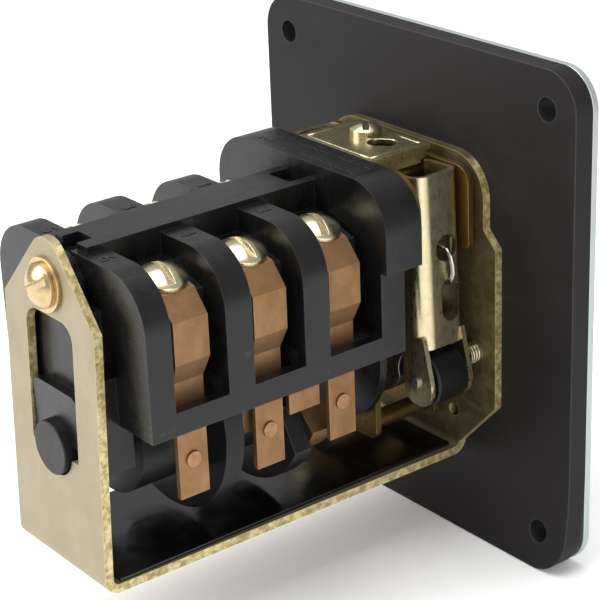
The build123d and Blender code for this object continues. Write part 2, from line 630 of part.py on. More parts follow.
def detent_arm(side):
    """Sheet channel, open towards the middle, with fork legs for the roller.

    It is drawn upright, then leans outwards about its pivot."""
    y0, y1 = ARM_Y
    lean = math.radians(ARM_LEAN)
    dx, dz = ROLLER_X - PIVOT_X, ROLLER_Z - PIVOT_Z
    roller_x = PIVOT_X + dx * math.cos(lean) + dz * math.sin(lean)
    roller_z = PIVOT_Z - dx * math.sin(lean) + dz * math.cos(lean)
    outer = outline([(ARM_INNER_X, y0), (ARM_OUTER_X, y0), (ARM_OUTER_X, y1), (ARM_INNER_X, y1)],
                    [0, 2.6, 3.4, 0])
    inner = outline([(ARM_INNER_X - 1, y0 + ARM_T), (ARM_OUTER_X - ARM_T, y0 + ARM_T),
                     (ARM_OUTER_X - ARM_T, y1 - ARM_T), (ARM_INNER_X - 1, y1 - ARM_T)], [0, 1.5, 2.3, 0])
    arm = extrude(Plane.XY.offset(ARM_WEB_BOTTOM_Z) * (outer - inner), ARM_TOP_Z - ARM_WEB_BOTTOM_Z)
    # Inner edges lean outwards towards the fork, clear of the star wheel.
    clear = make_face(Polyline((ARM_INNER_X - 2, 14.0), (ARM_INNER_X, 14.0), (15.8, -2.0), (15.8, -8.0),
                               (ARM_INNER_X - 2, -8.0), close=True))
    arm -= slab_y(clear, (y0 - 1, y1 + 1))
    leg_top = ARM_WEB_BOTTOM_Z + 3.0
    leg = outline([(ARM_OUTER_X - 0.2, leg_top), (roller_x + 5.4, roller_z - 0.4), (roller_x + 4.4, roller_z - 5.3),
                   (roller_x - 3.6, roller_z - 5.3), (roller_x - 3.6, roller_z), (16.0, leg_top)],
                  [0, 4.0, 3.6, 3.6, 3.0, 0])
    for y in ((y0, y0 + ARM_T), (y1 - ARM_T, y1)):
        arm += slab_y(leg, y)
    arm -= rod_x(3.0, (18, 26), SPRING_Y, SPRING_Z)
    slot = SlotCenterToCenter(4.8, 5.2)
    arm -= extrude(Plane.YZ.offset(18) * (Pos(8.9, 3.4) * Rot(0, 0, 90) * slot), 8)
    arm -= rod_y(PIN_R + RUNNING_GAP, (y0 - 1, y1 + 1), PIVOT_X, PIVOT_Z)
    arm -= rod_y(PIN_R, (y0 - 1, y1 + 1), roller_x, roller_z)
    arm = turned_y(arm, -ARM_LEAN, PIVOT_X, PIVOT_Z)
    return arm if side == LEFT else mirror(arm, Plane.YZ)


def arm_pivot_pins():
    """Pins that the two arms hang on, held in both mechanism plates."""
    pins = Part()
    for side in (LEFT, RIGHT):
        pins += rod_y(PIN_R, (FRONT_PLATE_Y[0], REAR_PLATE_Y[1]), side * PIVOT_X, PIVOT_Z)
    return pins


def roller_pin(side):
    return rod_y(PIN_R, (ARM_Y[0] - 0.4, ARM_Y[1] + 0.6), side * ROLLER_X, ROLLER_Z)


def detent_roller(side):
    """Moulded roller on its pin between the fork legs."""
    roller = rod_y(ROLLER_R, ROLLER_Y, side * ROLLER_X, ROLLER_Z)
    roller = chamfer(roller.edges().filter_by(GeomType.CIRCLE), 0.4)
    return roller - rod_y(PIN_R + RUNNING_GAP, (ROLLER_Y[0] - 1, ROLLER_Y[1] + 1), side * ROLLER_X, ROLLER_Z)


def detent_spring():
    """Outer shape of the extension spring, with a hook rod at each end."""
    spring = rod_x(SPRING_R, (-16.0, 16.0), SPRING_Y, SPRING_Z)
    return spring + rod_x(0.5, (-24.2, 24.2), SPRING_Y, SPRING_Z)


def top_bridge():
    """Tie plate over the mechanism, with down-turned sides and a raised panel."""
    y = (FRONT_PLATE_Y[1] + 0.1, 21.4)
    bridge = block((-BRIDGE_HALF_X, BRIDGE_HALF_X), y, (BRIDGE_TOP_Z - BRIDGE_T, BRIDGE_TOP_Z))
    slot = Pos(-4.3, 11.6) * Rot(0, 0, 38) * SlotOverall(6.6, 4.6)
    bridge -= extrude(Plane.XY.offset(BRIDGE_TOP_Z - 3) * slot, 5)
    for side in (LEFT, RIGHT):
        x = sorted((side * 10.0, side * 11.2))
        bridge += block(x, (y[0], REAR_PLATE_Y[0]), (BRIDGE_TOP_Z - 4.2, BRIDGE_TOP_Z - BRIDGE_T))
    return bridge - Pos(BRIDGE_SCREW[0], BRIDGE_SCREW[1], BRIDGE_TOP_Z) * Cylinder(1.9, 8)


def bridge_screw():
    head = Pos(BRIDGE_SCREW[0], BRIDGE_SCREW[1], BRIDGE_TOP_Z) * Rot(0, 0, 142) * binding_head(3.5, 1.5, 1.3)
    return head + Pos(BRIDGE_SCREW[0], BRIDGE_SCREW[1], BRIDGE_TOP_Z - 2.2) * Cylinder(1.8, 4.4)


def bridge_nut():
    """Square nut under the bridge."""
    nut = Pos(BRIDGE_SCREW[0], BRIDGE_SCREW[1], BRIDGE_TOP_Z - BRIDGE_T - 1.1) * Box(6.4, 6.4, 2.2)
    return nut - Pos(BRIDGE_SCREW[0], BRIDGE_SCREW[1], BRIDGE_TOP_Z) * Cylinder(1.8, 12)


def housing_screws():
    """Screws that hold the housing to the rear mechanism plate."""
    screws = Part()
    for side in (LEFT, RIGHT):
        x = side * 9.0
        head = rod_y(2.9, (REAR_PLATE_Y[0] - 1.4, REAR_PLATE_Y[0]), x, 21.0)
        head -= block((x - 4, x + 4), (REAR_PLATE_Y[0] - 1.4, REAR_PLATE_Y[0] - 0.8), (20.6, 21.4))
        screws += head + rod_y(1.5, (REAR_PLATE_Y[0], HOUSING_FRONT_Y + 7.0), x, 21.0)
    return screws


# ------------------------------------------------------------------- handle

def handle():
    """Round operating knob with finger scallops and a pointer rib."""
    y = (HANDLE_FRONT_Y, HANDLE_FRONT_Y + HANDLE_LENGTH)
    knob = rod_y(HANDLE_R, y)
    for step in range(8):
        angle = math.radians(22.5 + 45 * step)
        x = 18.6 * math.cos(angle)
        z = AXIS_Z + 18.6 * math.sin(angle)
        knob -= rod_y(5.0, (y[0] - 1, y[1] - 3.0), x, z)
    knob += block((-1.6, 1.6), (y[0] - 1.2, y[0] + 1), (AXIS_Z, AXIS_Z + 12.5))
    knob += rod_y(9.5, (y[1], y[1] + 5.0))
    knob -= rod_y(SHAFT_R, (SHAFT_FRONT_Y, y[1] + 6))
    screw = Pos(0, HANDLE_SCREW_Y, AXIS_Z - 7) * Cylinder(1.6, 20)
    return knob - (screw - block((-5, 5), (-60, 60), (AXIS_Z, 60)))


def handle_screw():
    """Set screw through the handle's neck on to the shaft."""
    length = 9.0 - SHAFT_R
    return Pos(0, HANDLE_SCREW_Y, AXIS_Z - SHAFT_R - length / 2) * Cylinder(1.6, length)


BLADE_ANGLES = [DETENT_STEP, 0.0, -DETENT_STEP]

parts = {
    "backing_plate": backing_plate(),
    "nameplate": nameplate(),
    "front_screws": front_screws(),
    "front_bushing": front_bushing(),
    "main_frame": main_frame(),
    "frame_liner": frame_liner(),
    "rear_washer": rear_washer(),
    "rear_screw": rear_screw(),
    "rear_insert": rear_insert(),
    "contact_housing": contact_housing(),
    "contact_buttons": contact_buttons(),
    "contact_rivets": contact_rivets(),
    "terminal_screws": terminal_screws(),
    "terminal_inserts": terminal_inserts(),
    "housing_screws": housing_screws(),
    "shaft": shaft(),
    "rotor_disc_1": rotor_disc(WALL_Y[0]),
    "rotor_disc_2": rotor_disc_2(WALL_Y[1]),
    "axial_bridge": axial_bridge(WALL_Y[1]),
    "rear_journal": rear_journal(),
    "spacer_sleeve": spacer_sleeve(),
    "retaining_clip": retaining_clip(),
    "mechanism_front_plate": mechanism_front_plate(),
    "mechanism_rear_plate": mechanism_rear_plate(),
    "mechanism_posts": mechanism_posts(),
    "star_wheel": star_wheel(),
    "stop_lug": stop_lug(),
    "stop_pins": stop_pins(),
    "arm_pivot_pins": arm_pivot_pins(),
    "detent_spring": detent_spring(),
    "top_bridge": top_bridge(),
    "bridge_screw": bridge_screw(),
    "bridge_nut": bridge_nut(),
    "handle": handle(),
    "handle_screw": handle_screw(),
}
for side, word in ((LEFT, "left"), (RIGHT, "right")):
    parts[f"detent_arm_{word}"] = detent_arm(side)
    parts[f"detent_roller_{word}"] = detent_roller(side)
    parts[f"roller_pin_{word}"] = roller_pin(side)
    for stage, centre_y in enumerate(STAGE_Y, start=1):
        parts[f"stationary_contact_{word}_{stage}"] = stationary_contact(side, centre_y)
for stage, (centre_y, angle) in enumerate(zip(STAGE_Y, BLADE_ANGLES), start=1):
    parts[f"rotor_hub_{stage}"] = rotor_hub(centre_y, angle)
    parts[f"moving_blade_{stage}"] = moving_blade(centre_y, angle)

os.makedirs("parts", exist_ok=True)
for name, shape in parts.items():
    export_step(shape, f"parts/{name}.step")
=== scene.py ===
"""Looks of the panel-mounted rotary switch: materials, fine pieces, floor, light and camera.

Metres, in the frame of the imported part: +Z up, +Y away from the panel, +X left seen from behind.
"""
import json
import math
import random

import bmesh
import bpy
from mathutils import Matrix, Vector


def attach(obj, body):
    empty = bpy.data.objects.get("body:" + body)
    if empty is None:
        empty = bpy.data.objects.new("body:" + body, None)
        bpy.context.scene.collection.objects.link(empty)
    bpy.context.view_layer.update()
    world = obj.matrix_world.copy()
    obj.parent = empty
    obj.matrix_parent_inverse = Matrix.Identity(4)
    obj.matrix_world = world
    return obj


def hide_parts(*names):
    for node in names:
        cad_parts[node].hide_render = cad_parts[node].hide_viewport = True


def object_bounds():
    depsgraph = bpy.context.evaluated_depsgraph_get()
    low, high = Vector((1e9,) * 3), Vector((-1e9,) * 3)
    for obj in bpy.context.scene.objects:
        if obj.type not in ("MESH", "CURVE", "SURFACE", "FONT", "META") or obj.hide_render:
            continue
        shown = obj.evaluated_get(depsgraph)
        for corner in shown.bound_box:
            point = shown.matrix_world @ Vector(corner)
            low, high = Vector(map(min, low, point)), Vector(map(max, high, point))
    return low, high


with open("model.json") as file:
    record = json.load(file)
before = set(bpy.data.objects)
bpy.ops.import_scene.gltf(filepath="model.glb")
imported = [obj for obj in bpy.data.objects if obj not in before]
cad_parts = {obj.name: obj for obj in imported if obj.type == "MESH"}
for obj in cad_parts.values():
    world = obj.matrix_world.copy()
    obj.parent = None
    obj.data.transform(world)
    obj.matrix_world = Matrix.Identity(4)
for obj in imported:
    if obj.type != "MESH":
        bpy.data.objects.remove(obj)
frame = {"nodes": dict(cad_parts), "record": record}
cad_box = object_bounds()
random.seed(11)

MM = 0.001
STAGE_Y = (77.15, 58.0, 38.85)
STAGE_PITCH = 19.15
AXIS_Z = -10.4
BUTTON_Z = -11.2
FIN_TOP_Z = 30.8
BARRIER_TOP_Z = 35.4
BRIDGE_TOP_Z = 35.1
FRONT_SCREW_X = 23.0
FRONT_SCREW_Z = -11.0
NAMEPLATE_FRONT_Y = -6.5
SIDES = (1, -1)


def linear(text):
    """Linear colour from a six-digit sRGB code."""
    parts = [int(text[i:i + 2], 16) / 255 for i in (0, 2, 4)]
    return [c / 12.92 if c <= 0.04045 else ((c + 0.055) / 1.055) ** 2.4 for c in parts] + [1.0]


# ---------------------------------------------------------------- materials

class Surface:
    """One material: each call adds a node and returns the socket that carries its result."""

    def __init__(self, name, metallic=0.0, specular=0.5, coat=0.0):
        self.material = bpy.data.materials.new(name)
        self.material.use_nodes = True
        self.nodes = self.material.node_tree.nodes
        self.link = self.material.node_tree.links.new
        self.shader = self.nodes["Principled BSDF"]
        self.shader.inputs["Metallic"].default_value = metallic
        self.shader.inputs["Specular IOR Level"].default_value = specular
        self.shader.inputs["Coat Weight"].default_value = coat
        self.shader.inputs["Coat Roughness"].default_value = 0.25
        position = self.nodes.new("ShaderNodeTexCoord").outputs["Object"]
        self.millimetres = self.scaled(position, (1000, 1000, 1000))

    def put(self, target, value):
        """Sets a socket to a number or colour, or links a socket into it."""
        if isinstance(value, bpy.types.NodeSocket):
            self.link(value, target)
        else:
            target.default_value = value

    def scaled(self, vector, scale):
        node = self.nodes.new("ShaderNodeMapping")
        node.inputs["Scale"].default_value = scale
        self.link(vector, node.inputs["Vector"])
        return node.outputs["Vector"]

    def noise(self, size, stretch=(1, 1, 1), detail=4.0, roughness=0.55, distortion=0.0):
        """Noise with blotches of about size millimetres, longer by the stretch factors."""
        node = self.nodes.new("ShaderNodeTexNoise")
        scale = [1 / (size * s) for s in stretch]
        self.link(self.scaled(self.millimetres, scale), node.inputs["Vector"])
        node.inputs["Scale"].default_value = 1.0
        node.inputs["Detail"].default_value = detail
        node.inputs["Roughness"].default_value = roughness
        node.inputs["Distortion"].default_value = distortion
        return node.outputs["Fac"]

    def specks(self, size):
        """Distance to the nearest of scattered points, size millimetres apart."""
        node = self.nodes.new("ShaderNodeTexVoronoi")
        node.inputs["Scale"].default_value = 1 / size
        self.link(self.millimetres, node.inputs["Vector"])
        return node.outputs["Distance"]

    def span(self, value, low, high, to_low=0.0, to_high=1.0):
        node = self.nodes.new("ShaderNodeMapRange")
        self.put(node.inputs["Value"], value)
        for name, number in (("From Min", low), ("From Max", high), ("To Min", to_low), ("To Max", to_high)):
            node.inputs[name].default_value = number
        return node.outputs["Result"]

    def calc(self, operation, a, b=0.0):
        node = self.nodes.new("ShaderNodeMath")
        node.operation = operation
        self.put(node.inputs[0], a)
        self.put(node.inputs[1], b)
        return node.outputs["Value"]

    def blend(self, factor, a, b, mode="MIX"):
        node = self.nodes.new("ShaderNodeMix")
        node.data_type = "RGBA"
        node.blend_type = mode
        self.put(node.inputs["Factor"], factor)
        self.put(node.inputs[6], a)
        self.put(node.inputs[7], b)
        return node.outputs[2]

    def axis(self, index):
        """One of the position's coordinates, in millimetres."""
        node = self.nodes.new("ShaderNodeSeparateXYZ")
        self.link(self.millimetres, node.inputs["Vector"])
        return node.outputs[index]

    def sideways(self):
        """1 on faces that look to the left or right, 0 on the others."""
        node = self.nodes.new("ShaderNodeSeparateXYZ")
        self.link(self.nodes.new("ShaderNodeTexCoord").outputs["Normal"], node.inputs["Vector"])
        return self.span(self.calc("ABSOLUTE", node.outputs[0]), 0.4, 0.6)

    def edges(self, radius):
        """1 at edges sharper than the radius, in millimetres, and 0 on flats."""
        bevel = self.nodes.new("ShaderNodeBevel")
        bevel.samples = 4
        bevel.inputs["Radius"].default_value = radius * MM
        flat = self.nodes.new("ShaderNodeNewGeometry")
        dot = self.nodes.new("ShaderNodeVectorMath")
        dot.operation = "DOT_PRODUCT"
        self.link(bevel.outputs["Normal"], dot.inputs[0])
        self.link(flat.outputs["True Normal"], dot.inputs[1])
        return self.span(dot.outputs["Value"], 0.995, 0.90)

    def bump(self, height, depth, under=None):
        """Bump whose full height is depth millimetres."""
        node = self.nodes.new("ShaderNodeBump")
        node.inputs["Distance"].default_value = depth * MM
        node.inputs["Strength"].default_value = 1.0
        self.put(node.inputs["Height"], height)
        if under is not None:
            self.link(under, node.inputs["Normal"])
        return node.outputs["Normal"]

    def finish(self, colour, roughness, normal=None):
        self.put(self.shader.inputs["Base Color"], colour)
        self.put(self.shader.inputs["Roughness"], roughness)
        if normal is not None:
            self.link(normal, self.shader.inputs["Normal"])
        return self.material


def plated_sheet(name, colours, rough, metallic, edge, flange=None):
    """Rolled, zinc plated sheet: faint clouds, fine rolling lines, sheared edges lightened partly as wear
    and partly as painted highlight.

    The flange colour is painted shade: it darkens the face next to the plate in patches, in place of a
    darker reflection there."""
    s = Surface(name, metallic=metallic)
    base, dark, tint = (linear(c) for c in colours)
    cloud = s.span(s.noise(9.0, detail=5), 0.38, 0.66)
    streak = s.noise(0.35, (1, 14, 14), detail=3, roughness=0.7)
    stain = s.span(s.noise(3.2, detail=6, distortion=1.2), 0.56, 0.74)
    colour = s.blend(s.calc("MULTIPLY", cloud, 0.4), base, dark)
    colour = s.blend(s.calc("MULTIPLY", stain, 0.25), colour, tint)
    colour = s.blend(s.span(streak, 0.35, 0.75, 0.0, 0.15), colour, dark)
    if flange is not None:
        # painted shade: darkens the flange face next to the plate in patches, in place of a darker
        # reflection
        painted_shade_near_plate = s.span(s.axis(1), 2.8, 2.0)
        patches = s.span(s.noise(2.6, detail=5, distortion=0.9), 0.35, 0.7, 0.75, 1.0)
        colour = s.blend(s.calc("MULTIPLY", painted_shade_near_plate, patches), colour, linear(flange))
        mottle = s.span(s.noise(1.1, (1, 1.5, 1.5), detail=6, roughness=0.7), 0.42, 0.6)
        sheared = s.blend(mottle, linear("8F7E3C"), linear("D6CA98"))
        colour = s.blend(s.calc("MULTIPLY", s.sideways(), 0.75), colour, sheared)
    # lighter at sharp edges towards the edge colour: partly wear, partly painted highlight
    colour = s.blend(s.calc("MULTIPLY", s.edges(0.25), 0.45), colour, linear(edge))
    roughness = s.calc("ADD", s.span(cloud, 0, 1, rough[0], rough[1]), s.span(streak, 0.3, 0.7, -0.04, 0.05))
    normal = s.bump(streak, 0.006)
    normal = s.bump(s.noise(7.0, detail=2), 0.04, normal)
    return s.finish(colour, roughness, normal)


def bright_metal(name, colours, rough, grain=(1, 1, 12), stains=0.5, depth=0.008, pitted=0.5):
    """Plated or ground metal with fine drawn lines and darker handling marks."""
    s = Surface(name, metallic=1.0)
    base, dark, light = (linear(c) for c in colours)
    line = s.noise(0.22, grain, detail=4, roughness=0.75)
    cloud = s.span(s.noise(2.6, detail=5, distortion=0.6), 0.42, 0.68)
    pits = s.span(s.noise(0.5, detail=2), 0.66, 0.74)
    colour = s.blend(s.calc("MULTIPLY", cloud, stains), base, dark)
    colour = s.blend(s.span(line, 0.4, 0.75, 0.0, 0.35), colour, light)
    colour = s.blend(s.calc("MULTIPLY", pits, pitted), colour, dark)
    # lighter at sharp edges: partly wear, partly painted highlight
    colour = s.blend(s.calc("MULTIPLY", s.edges(0.2), 0.5), colour, light)
    roughness = s.calc("ADD", s.span(cloud, 0, 1, rough[0], rough[1]), s.span(line, 0.3, 0.7, -0.05, 0.05))
    return s.finish(colour, roughness, s.bump(line, depth, s.bump(s.noise(2.4, detail=1), 0.008)))


def moulding(name, colours, rough, depth, specular, coat=0.0, line=None):
    """Moulded phenolic: satin black with flow marks, dusty specks in the grain, and edges lightened partly
    as rubbed wear and partly as painted highlight.

    The line is a painted stroke on the front: half width, lowest z, highest z and rearmost y."""
    s = Surface(name, specular=specular, coat=coat)
    base, light, dust_and_highlight = (linear(c) for c in colours)
    flow = s.span(s.noise(7.0, (1, 1, 2.2), detail=4, distortion=1.5), 0.35, 0.7)
    grain = s.noise(0.28, detail=3, roughness=0.7)
    speck = s.span(s.specks(0.9), 0.07, 0.02)
    scratch = s.span(s.noise(0.12, (1, 60, 25), detail=2), 0.68, 0.76)
    colour = s.blend(s.calc("MULTIPLY", flow, 0.6), base, light)
    colour = s.blend(s.calc("MULTIPLY", speck, 0.18), colour, dust_and_highlight)
    colour = s.blend(s.calc("MULTIPLY", scratch, 0.12), colour, dust_and_highlight)
    # lighter at sharp edges: partly rubbed wear, partly painted highlight
    colour = s.blend(s.calc("MULTIPLY", s.edges(0.35), 0.12), colour, dust_and_highlight)
    if line is not None:
        inside = s.calc("LESS_THAN", s.calc("ABSOLUTE", s.axis(0)), line[0])
        inside = s.calc("MULTIPLY", inside, s.calc("GREATER_THAN", s.axis(2), line[1]))
        inside = s.calc("MULTIPLY", inside, s.calc("LESS_THAN", s.axis(2), line[2]))
        inside = s.calc("MULTIPLY", inside, s.calc("LESS_THAN", s.axis(1), line[3]))
        colour = s.blend(inside, colour, linear("E9E6DF"))
    roughness = s.calc("ADD", s.span(flow, 0, 1, rough[0], rough[1]), s.span(grain, 0.3, 0.7, -0.06, 0.06))
    return s.finish(colour, roughness, s.bump(grain, depth, s.bump(s.noise(4.0, detail=2), 0.05)))


def contact_copper():
    """Rolled copper alloy: brushed along the finger, browned in patches, edges brightened partly as wear and
    partly as painted highlight.
    """
    s = Surface("copper", metallic=0.8, specular=0.3)
    line = s.noise(0.16, (14, 1, 22), detail=4, roughness=0.7)
    cloud = s.span(s.noise(4.5, (1, 1, 1.7), detail=5, distortion=0.8), 0.36, 0.7)
    tarnish = s.span(s.noise(1.9, detail=6, distortion=1.6), 0.58, 0.76)
    colour = s.blend(cloud, linear("8E6C4A"), linear("7A5B3E"))
    colour = s.blend(s.calc("MULTIPLY", tarnish, 0.2), colour, linear("5C412B"))
    colour = s.blend(s.span(line, 0.38, 0.72, 0.0, 0.15), colour, linear("AA8664"))
    # lighter at sharp edges: partly wear, partly painted highlight
    colour = s.blend(s.calc("MULTIPLY", s.edges(0.2), 0.45), colour, linear("C79D74"))
    roughness = s.calc("ADD", s.span(cloud, 0, 1, 0.42, 0.52), s.span(line, 0.3, 0.7, -0.05, 0.06))
    return s.finish(colour, roughness, s.bump(line, 0.008, s.bump(s.noise(2.4, detail=2), 0.03)))


def turned_metal(name, colours, rough):
    """Metal faced in a lathe: rings round each stage's rivet or button, repeated along Y."""
    s = Surface(name, metallic=1.0)
    base, dark, light = (linear(c) for c in colours)
    cell = s.calc("DIVIDE", s.calc("SUBTRACT", s.axis(1), STAGE_Y[2]), STAGE_PITCH)
    offset = s.calc("MULTIPLY", s.calc("SUBTRACT", cell, s.calc("ROUND", cell)), STAGE_PITCH)
    rise = s.calc("SUBTRACT", s.axis(2), BUTTON_Z)
    square = s.calc("ADD", s.calc("MULTIPLY", offset, offset), s.calc("MULTIPLY", rise, rise))
    radius = s.calc("SQRT", square)
    wobble = s.calc("MULTIPLY", s.noise(0.6, detail=3), 1.4)
    ring = s.span(s.calc("SINE", s.calc("ADD", s.calc("MULTIPLY", radius, 14.0), wobble)), -1, 1)
    cloud = s.span(s.noise(1.2, detail=4), 0.4, 0.65)
    colour = s.blend(s.calc("MULTIPLY", cloud, 0.6), base, dark)
    colour = s.blend(s.calc("MULTIPLY", ring, 0.4), colour, light)
    return s.finish(colour, s.span(cloud, 0, 1, *rough), s.bump(ring, 0.02))


def sheet_black():
    """Black oxide plate with a dry satin surface, dusty specks and greyer edges: the edges partly rubbed
    wear, partly painted highlight.
    """
    s = Surface("plate_black", specular=0.16)
    cloud = s.span(s.noise(16.0, detail=5, distortion=0.8), 0.35, 0.7)
    grain = s.noise(0.22, detail=4, roughness=0.75)
    speck = s.span(s.specks(1.7), 0.05, 0.015)
    rub = s.span(s.noise(1.1, (9, 1, 1), detail=4), 0.62, 0.8)
    colour = s.blend(cloud, linear("191717"), linear("1D1B1B"))
    colour = s.blend(s.calc("MULTIPLY", rub, 0.06), colour, linear("57514F"))
    colour = s.blend(s.calc("MULTIPLY", speck, 0.15), colour, linear("8A8480"))
    # greyer at sharp edges: partly rubbed wear, partly painted highlight
    colour = s.blend(s.calc("MULTIPLY", s.edges(0.5), 0.25), colour, linear("6F6B6A"))
    roughness = s.calc("ADD", s.span(cloud, 0, 1, 0.5, 0.62), s.span(grain, 0.3, 0.7, -0.05, 0.05))
    return s.finish(colour, roughness, s.bump(grain, 0.02, s.bump(s.noise(9.0, detail=2), 0.06)))


def liner_black():
    """Glossy insulating sheet, lightly scuffed."""
    s = Surface("liner_black", specular=0.5)
    scuff = s.span(s.noise(0.4, (30, 1, 1), detail=3), 0.62, 0.78)
    cloud = s.span(s.noise(6.0, detail=3), 0.4, 0.65)
    colour = s.blend(s.calc("MULTIPLY", scuff, 0.25), linear("0E0D0D"), linear("3A342E"))
    return s.finish(colour, s.span(cloud, 0, 1, 0.12, 0.26), s.bump(s.noise(3.5, detail=3), 0.05))


def plate_metal():
    """Anodised sheet: grey-green edge, drawn grain along X, faint marks."""
    s = Surface("nameplate_metal", metallic=0.75)
    line = s.noise(0.18, (40, 1, 1), detail=4, roughness=0.75)
    cloud = s.span(s.noise(12.0, detail=4), 0.4, 0.66)
    colour = s.blend(cloud, linear("A9B3B1"), linear("A3ADAB"))
    colour = s.blend(s.span(line, 0.4, 0.75, 0.0, 0.25), colour, linear("D2DAD8"))
    # lighter at sharp edges: partly wear, partly painted highlight
    colour = s.blend(s.calc("MULTIPLY", s.edges(0.3), 0.6), colour, linear("DCE4E2"))
    return s.finish(colour, s.span(line, 0.3, 0.7, 0.34, 0.46), s.bump(line, 0.006))


def painted_mark(name, colour):
    """Filled marking paint with a slightly dry, uneven surface."""
    s = Surface(name, specular=0.35)
    cloud = s.span(s.noise(0.8, detail=4), 0.4, 0.66)
    worn = s.blend(s.calc("MULTIPLY", cloud, 0.35), linear(colour), linear("8C8880"))
    return s.finish(worn, s.span(cloud, 0, 1, 0.45, 0.6), s.bump(s.noise(0.3, detail=3), 0.01))


MATERIALS = {
    # zinc_yellow's flange colour is painted shade for the face next to the plate; the edge colours are
    # partly painted highlight
    "zinc_yellow": plated_sheet("zinc_yellow", ("938870", "8A7F63", "8B8450"), (0.44, 0.52), 0.6,
                                edge="E6D49C", flange="4A3A1E"),
    "mechanism_gold": plated_sheet("mechanism_gold", ("7A6238", "4C3C20", "9C7F46"), (0.3, 0.42), 0.92,
                                   edge="C9AC6A"),
    "nickel_sheet": bright_metal("nickel_sheet", ("C0B48F", "A0926E", "E4DBC0"), (0.28, 0.34), (1, 1, 14),
                                 stains=0.35, depth=0.002, pitted=0.0),
    "steel": bright_metal("steel", ("9C9A96", "67635C", "C6C4C0"), (0.26, 0.38), stains=0.45),
    "screw_nickel": bright_metal("screw_nickel", ("C0B594", "8C8060", "EAE2C8"), (0.24, 0.34), (1, 1, 1),
                                 stains=0.35, depth=0.003, pitted=0.2),
    "screw_brass": bright_metal("screw_brass", ("B8A27A", "8A7650", "DCC8A0"), (0.26, 0.36), (1, 1, 1),
                                stains=0.4, depth=0.004, pitted=0.2),
    "brass": bright_metal("brass", ("D4AC5C", "8C682E", "F6DC98"), (0.22, 0.36), (1, 10, 1)),
    "copper": contact_copper(),
    "silver_contact": turned_metal("silver_contact", ("D4CEC4", "8E8272", "F4F0E8"), (0.25, 0.4)),
    "moulded_black": moulding("moulded_black", ("0B0B0B", "101010", "6A6A6A"), (0.26, 0.36), 0.012,
                              specular=0.33),
    "rotor_black": moulding("rotor_black", ("0D0D0D", "111111", "5A5A5A"), (0.36, 0.46), 0.012,
                            specular=0.26),
    "plate_black": sheet_black(),
    "liner_black": liner_black(),
    "nameplate_metal": plate_metal(),
    "handle_black": moulding("handle_black", ("101010", "161616", "4C4C4C"), (0.22, 0.32), 0.008, coat=0.3,
                             specular=0.5, line=(0.5, AXIS_Z + 2.5, AXIS_Z + 12.0, -34.2)),
}
RIVET_COPPER = turned_metal("rivet_copper", ("9C7656", "7C5A3E", "AE8A6A"), (0.36, 0.46))
MARK_WHITE = painted_mark("mark_white", "E9E6DF")

BEVELS = {
    "contact_housing": 0.35, "backing_plate": 0.45, "main_frame": 0.22, "nameplate": 0.2, "handle": 0.5,
    "top_bridge": 0.2, "detent_arm_left": 0.2, "detent_arm_right": 0.2, "mechanism_front_plate": 0.15,
    "mechanism_rear_plate": 0.15, "rotor_disc_1": 0.3, "rotor_disc_2": 0.3, "rear_journal": 0.3,
}


def finish_cad_nodes():
    """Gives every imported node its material, and a small bevel on its sharp edges."""
    for part in frame["record"]["subparts"]:
        node = frame["nodes"][part["node"]]
        node.data.materials.clear()
        node.data.materials.append(MATERIALS[part["material_slot"]])
        weld = node.modifiers.new("weld", "WELD")
        weld.merge_threshold = 0.002 * MM
        flats = node.modifiers.new("flats", "DECIMATE")
        flats.decimate_type = "DISSOLVE"
        flats.angle_limit = math.radians(0.6)
        bevel = node.modifiers.new("bevel", "BEVEL")
        bevel.width = BEVELS.get(part["node"], 0.12) * MM
        bevel.segments = 3
        bevel.limit_method = "ANGLE"
        bevel.angle_limit = math.radians(32)
        bevel.use_clamp_overlap = True
        weighted = node.modifiers.new("weighted", "WEIGHTED_NORMAL")
        weighted.keep_sharp = True
    frame["nodes"]["contact_rivets"].data.materials[0] = RIVET_COPPER


# --------------------------------------------------------------- fine pieces

def add_mesh(name, build, material, body):
    """A piece from a function that fills a bmesh with coordinates in millimetres."""
    work = bmesh.new()
    build(work)
    bmesh.ops.recalc_face_normals(work, faces=work.faces)
    bmesh.ops.scale(work, vec=(MM, MM, MM), verts=work.verts)
    mesh = bpy.data.meshes.new(name)
    work.to_mesh(mesh)
    work.free()
    mesh.materials.append(material)
    piece = bpy.data.objects.new(name, mesh)
    bpy.context.scene.collection.objects.link(piece)
    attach(piece, body)
    return piece


def sweep(work, path, radius, sides=8):
    """Round wire along a list of points, closed at both ends."""
    rings = []
    previous = None
    for index, point in enumerate(path):
        ahead = path[min(index + 1, len(path) - 1)]
        behind = path[max(index - 1, 0)]
        along = (ahead - behind).normalized()
        if previous is None:
            across = along.orthogonal().normalized()
        else:
            across = (previous - along * previous.dot(along)).normalized()
        previous = across
        third = along.cross(across)
        ring = []
        for step in range(sides):
            turn = 2 * math.pi * step / sides
            ring.append(work.verts.new(point + radius * (math.cos(turn) * across + math.sin(turn) * third)))
        rings.append(ring)
    for low, high in zip(rings, rings[1:]):
        for step in range(sides):
            after = (step + 1) % sides
            face = work.faces.new((low[step], low[after], high[after], high[step]))
            face.smooth = True
    work.faces.new(rings[0])
    work.faces.new(rings[-1])


def raised_bar(work, centre, size, height, chamfer):
    """Small raised bar with sloped sides, standing on the XY plane at the centre."""
    x, y, z = centre
    rings = []
    for inset, level in ((0.0, 0.0), (chamfer, height)):
        half_x, half_y = size[0] / 2 - inset, size[1] / 2 - inset
        corners = ((-half_x, -half_y), (half_x, -half_y), (half_x, half_y), (-half_x, half_y))
        rings.append([work.verts.new((x + dx, y + dy, z + level)) for dx, dy in corners])
    for step in range(4):
        after = (step + 1) % 4
        work.faces.new((rings[0][step], rings[0][after], rings[1][after], rings[1][step]))
    work.faces.new(rings[0])
    work.faces.new(rings[1])


